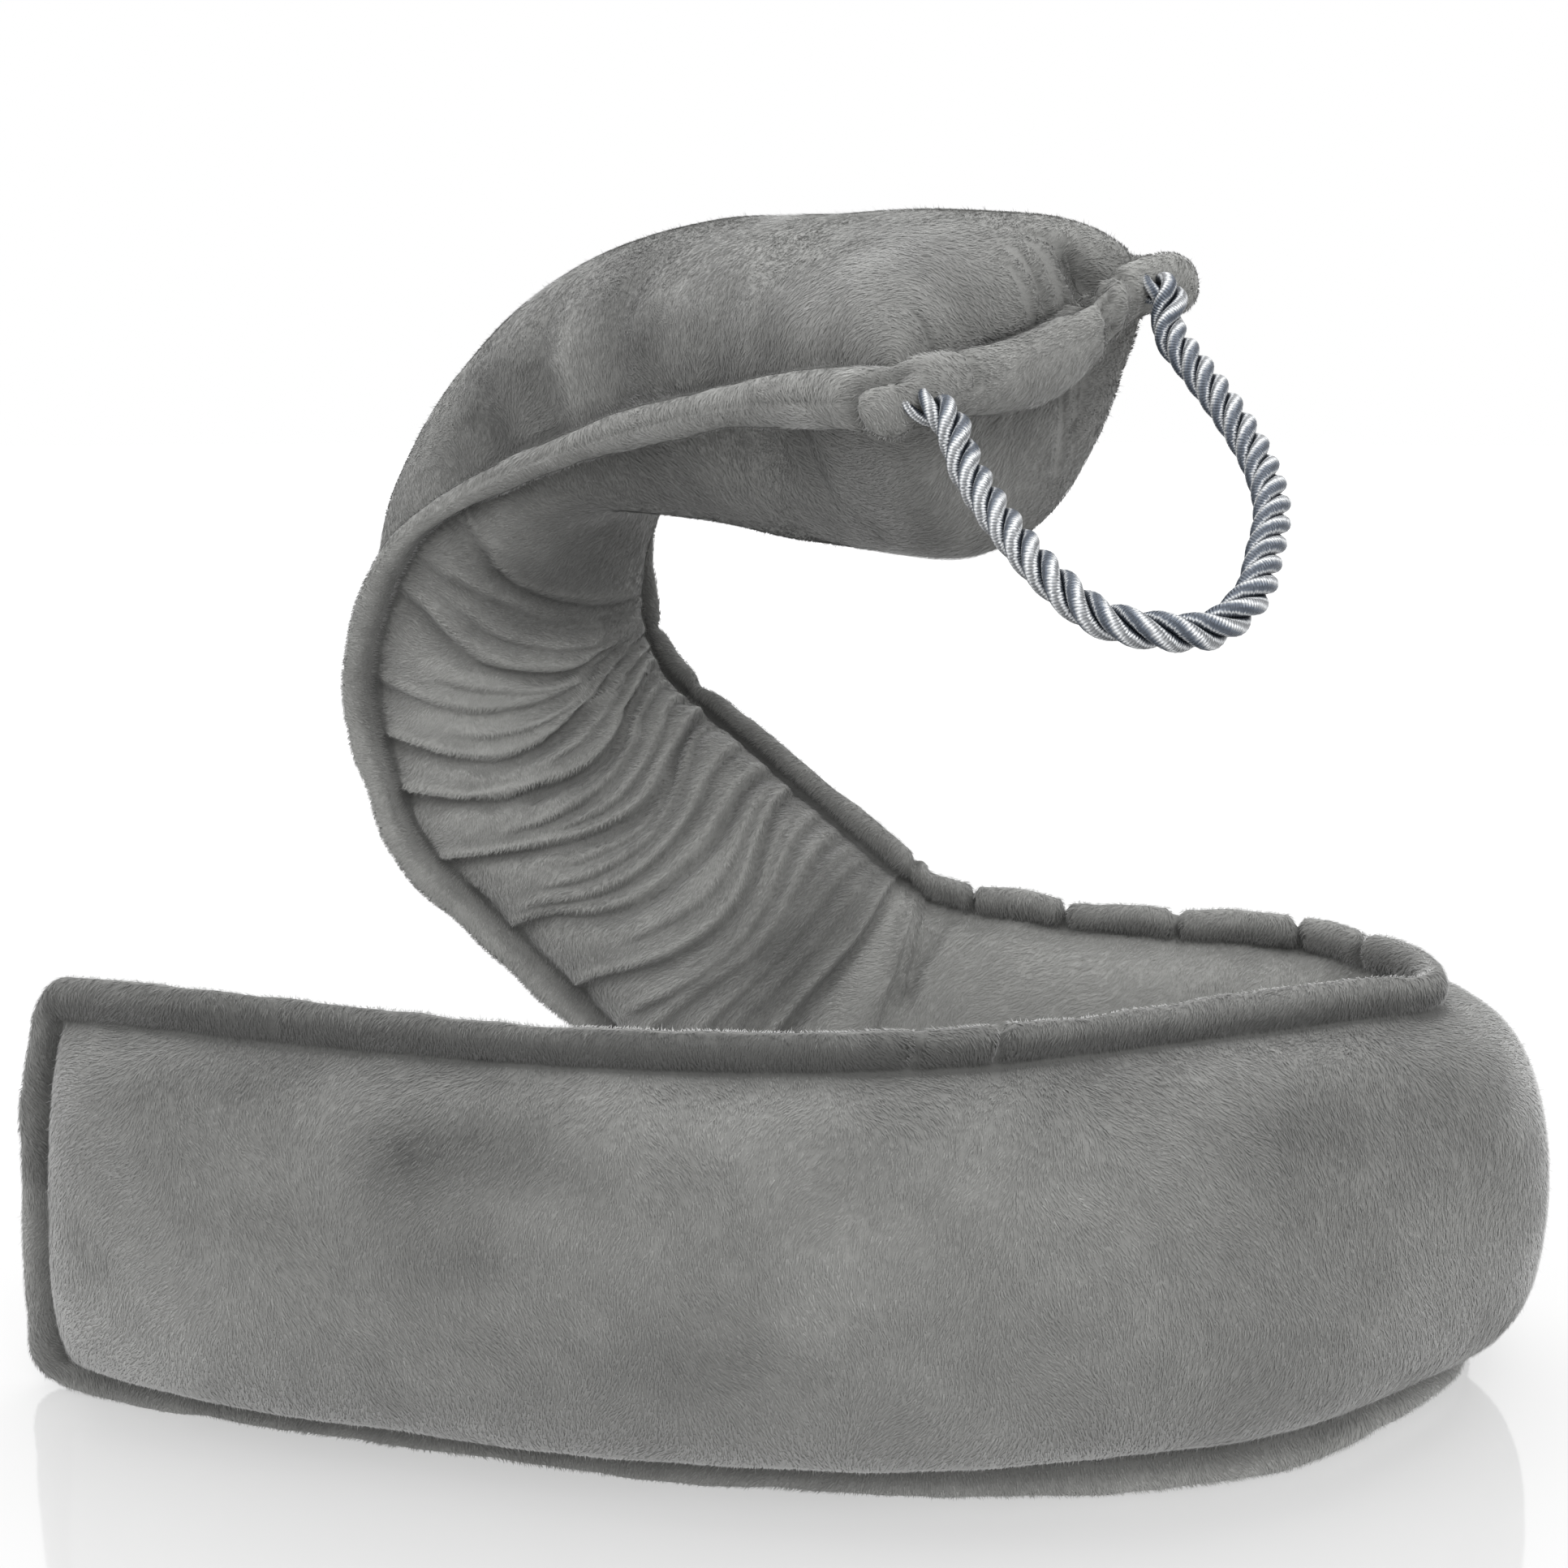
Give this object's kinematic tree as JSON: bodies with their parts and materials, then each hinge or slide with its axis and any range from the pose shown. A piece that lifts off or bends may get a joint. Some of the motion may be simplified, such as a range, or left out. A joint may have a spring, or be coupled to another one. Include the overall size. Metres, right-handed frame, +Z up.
{
  "type": "draught excluder",
  "caption": "Long filled plush door cushion with a stitched flange all round and a twisted satin loop at one end, bent round with the loop end raised and curled over.",
  "frame": {"origin": "centre of the cushion's bounding box, on the floor plane that its long flange stands on", "axes": "+Z up; -Y towards the side that the straight front run faces; the free end of the front run points to -X"},
  "size_m": [0.3426, 0.2374, 0.2621],
  "materials": {
    "grey_plush": "short soft pile",
    "silver_satin_cord": "satin"
  },
  "bodies": {
    "root": {"filled_cushion": "grey_plush", "hanging_loop": "silver_satin_cord"}
  },
  "joints": []
}
